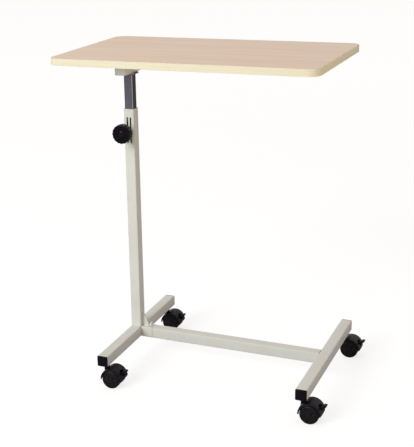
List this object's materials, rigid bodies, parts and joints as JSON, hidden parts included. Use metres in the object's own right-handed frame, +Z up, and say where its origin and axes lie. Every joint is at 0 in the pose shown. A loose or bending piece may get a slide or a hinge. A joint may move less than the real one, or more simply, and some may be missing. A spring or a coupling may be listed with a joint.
{
  "type": "overbed table",
  "caption": "Height-adjustable overbed table: rectangular wood-look board on a telescopic side mast with a clamp knob, over an H-shaped tube base on braked twin-wheel casters.",
  "frame": {"origin": "on the floor, under the middle of the object's box", "axes": "+Z up; +X from the mast towards the free end of the board; -Y towards the side that carries the clamp knob"},
  "size_m": [0.74, 0.47, 0.885],
  "materials": {
    "frame_paint": "semi-gloss warm off-white powder coat",
    "black_plastic": "fine satin moulded black",
    "caster_plastic": "satin moulded black nylon",
    "wheel_plastic": "satin black nylon with a smooth tread",
    "chrome": "bright plated",
    "steel": "zinc plated",
    "beech_laminate": "light beech laminate, fine straight grain along the length",
    "cream_edging": "satin cream edge band"
  },
  "bodies": {
    "base": {"left_foot_tube": "frame_paint", "right_foot_tube": "frame_paint", "crossbar_socket": "frame_paint", "crossbar_tube": "frame_paint", "crossbar_spigot": "steel", "crossbar_bolt": "steel", "crossbar_cap_nut": "chrome", "gusset_plate": "frame_paint", "outer_mast_tube": "frame_paint", "mast_guide_bush": "black_plastic", "clamp_boss": "frame_paint", "left_front_end_cap": "black_plastic", "left_back_end_cap": "black_plastic", "right_front_end_cap": "black_plastic", "right_back_end_cap": "black_plastic", "front_left_stem_socket": "black_plastic", "front_right_stem_socket": "black_plastic", "back_left_stem_socket": "black_plastic", "back_right_stem_socket": "black_plastic"},
    "tabletop_lift": {"inner_mast_tube": "chrome", "inner_mast_glide": "black_plastic", "mast_head_plate": "chrome", "head_carrier": "frame_paint", "front_rail": "frame_paint", "back_rail": "frame_paint", "front_rail_screw_1": "steel", "front_rail_screw_2": "steel", "back_rail_screw_1": "steel", "back_rail_screw_2": "steel", "tabletop_board": "beech_laminate", "edge_band": "cream_edging"},
    "clamp_screw_tip": {"clamp_pad": "black_plastic"},
    "clamp_knob_turn": {"clamp_knob": "black_plastic", "clamp_knob_cap": "black_plastic", "clamp_stud": "steel"},
    "front_left_caster": {"front_left_hood": "caster_plastic", "front_left_stem": "steel", "front_left_axle": "steel"},
    "front_left_front_wheel_body": {"front_left_front_wheel": "wheel_plastic"},
    "front_left_back_wheel_body": {"front_left_back_wheel": "wheel_plastic"},
    "front_left_pedal": {"front_left_brake_pedal": "caster_plastic"},
    "front_right_caster": {"front_right_hood": "caster_plastic", "front_right_stem": "steel", "front_right_axle": "steel"},
    "front_right_front_wheel_body": {"front_right_front_wheel": "wheel_plastic"},
    "front_right_back_wheel_body": {"front_right_back_wheel": "wheel_plastic"},
    "front_right_pedal": {"front_right_brake_pedal": "caster_plastic"},
    "back_left_caster": {"back_left_hood": "caster_plastic", "back_left_stem": "steel", "back_left_axle": "steel"},
    "back_left_front_wheel_body": {"back_left_front_wheel": "wheel_plastic"},
    "back_left_back_wheel_body": {"back_left_back_wheel": "wheel_plastic"},
    "back_left_pedal": {"back_left_brake_pedal": "caster_plastic"},
    "back_right_caster": {"back_right_hood": "caster_plastic", "back_right_stem": "steel", "back_right_axle": "steel"},
    "back_right_front_wheel_body": {"back_right_front_wheel": "wheel_plastic"},
    "back_right_back_wheel_body": {"back_right_back_wheel": "wheel_plastic"},
    "back_right_pedal": {"back_right_brake_pedal": "caster_plastic"}
  },
  "joints": [
    {"name": "height_slide", "type": "slide", "parent": "base", "child": "tabletop_lift", "axis": [0, 0, 1], "range_m": [-0.092, 0.25]},
    {"name": "clamp_feed", "type": "slide", "parent": "base", "child": "clamp_screw_tip", "axis": [0, -1, 0], "range_m": [0, 0.0026]},
    {"name": "clamp_knob_spin", "type": "hinge", "parent": "clamp_screw_tip", "child": "clamp_knob_turn", "pos_m": [-0.24, -0.045, 0.666], "axis": [0, -1, 0], "range_deg": [0, 720]},
    {"name": "front_left_swivel", "type": "hinge", "parent": "base", "child": "front_left_caster", "pos_m": [-0.24, -0.207, 0.06], "axis": [0, 0, 1], "continuous": true},
    {"name": "front_left_front_wheel_spin", "type": "hinge", "parent": "front_left_caster", "child": "front_left_front_wheel_body", "pos_m": [-0.22, -0.207, 0.025], "axis": [0, 1, 0], "continuous": true},
    {"name": "front_left_back_wheel_spin", "type": "hinge", "parent": "front_left_caster", "child": "front_left_back_wheel_body", "pos_m": [-0.22, -0.207, 0.025], "axis": [0, 1, 0], "continuous": true},
    {"name": "front_left_brake_press", "type": "hinge", "parent": "front_left_caster", "child": "front_left_pedal", "pos_m": [-0.203, -0.207, 0.0375], "axis": [0, 1, 0], "range_deg": [0, 15]},
    {"name": "front_right_swivel", "type": "hinge", "parent": "base", "child": "front_right_caster", "pos_m": [0.31, -0.207, 0.06], "axis": [0, 0, 1], "continuous": true},
    {"name": "front_right_front_wheel_spin", "type": "hinge", "parent": "front_right_caster", "child": "front_right_front_wheel_body", "pos_m": [0.33, -0.207, 0.025], "axis": [0, 1, 0], "continuous": true},
    {"name": "front_right_back_wheel_spin", "type": "hinge", "parent": "front_right_caster", "child": "front_right_back_wheel_body", "pos_m": [0.33, -0.207, 0.025], "axis": [0, 1, 0], "continuous": true},
    {"name": "front_right_brake_press", "type": "hinge", "parent": "front_right_caster", "child": "front_right_pedal", "pos_m": [0.347, -0.207, 0.0375], "axis": [0, 1, 0], "range_deg": [0, 15]},
    {"name": "back_left_swivel", "type": "hinge", "parent": "base", "child": "back_left_caster", "pos_m": [-0.24, 0.207, 0.06], "axis": [0, 0, 1], "continuous": true},
    {"name": "back_left_front_wheel_spin", "type": "hinge", "parent": "back_left_caster", "child": "back_left_front_wheel_body", "pos_m": [-0.22, 0.207, 0.025], "axis": [0, 1, 0], "continuous": true},
    {"name": "back_left_back_wheel_spin", "type": "hinge", "parent": "back_left_caster", "child": "back_left_back_wheel_body", "pos_m": [-0.22, 0.207, 0.025], "axis": [0, 1, 0], "continuous": true},
    {"name": "back_left_brake_press", "type": "hinge", "parent": "back_left_caster", "child": "back_left_pedal", "pos_m": [-0.203, 0.207, 0.0375], "axis": [0, 1, 0], "range_deg": [0, 15]},
    {"name": "back_right_swivel", "type": "hinge", "parent": "base", "child": "back_right_caster", "pos_m": [0.31, 0.207, 0.06], "axis": [0, 0, 1], "continuous": true},
    {"name": "back_right_front_wheel_spin", "type": "hinge", "parent": "back_right_caster", "child": "back_right_front_wheel_body", "pos_m": [0.33, 0.207, 0.025], "axis": [0, 1, 0], "continuous": true},
    {"name": "back_right_back_wheel_spin", "type": "hinge", "parent": "back_right_caster", "child": "back_right_back_wheel_body", "pos_m": [0.33, 0.207, 0.025], "axis": [0, 1, 0], "continuous": true},
    {"name": "back_right_brake_press", "type": "hinge", "parent": "back_right_caster", "child": "back_right_pedal", "pos_m": [0.347, 0.207, 0.0375], "axis": [0, 1, 0], "range_deg": [0, 15]}
  ],
  "couplings": [
    {"joint": "clamp_feed", "follows": "clamp_knob_spin", "m_per_rad": 0.0001989}
  ]
}
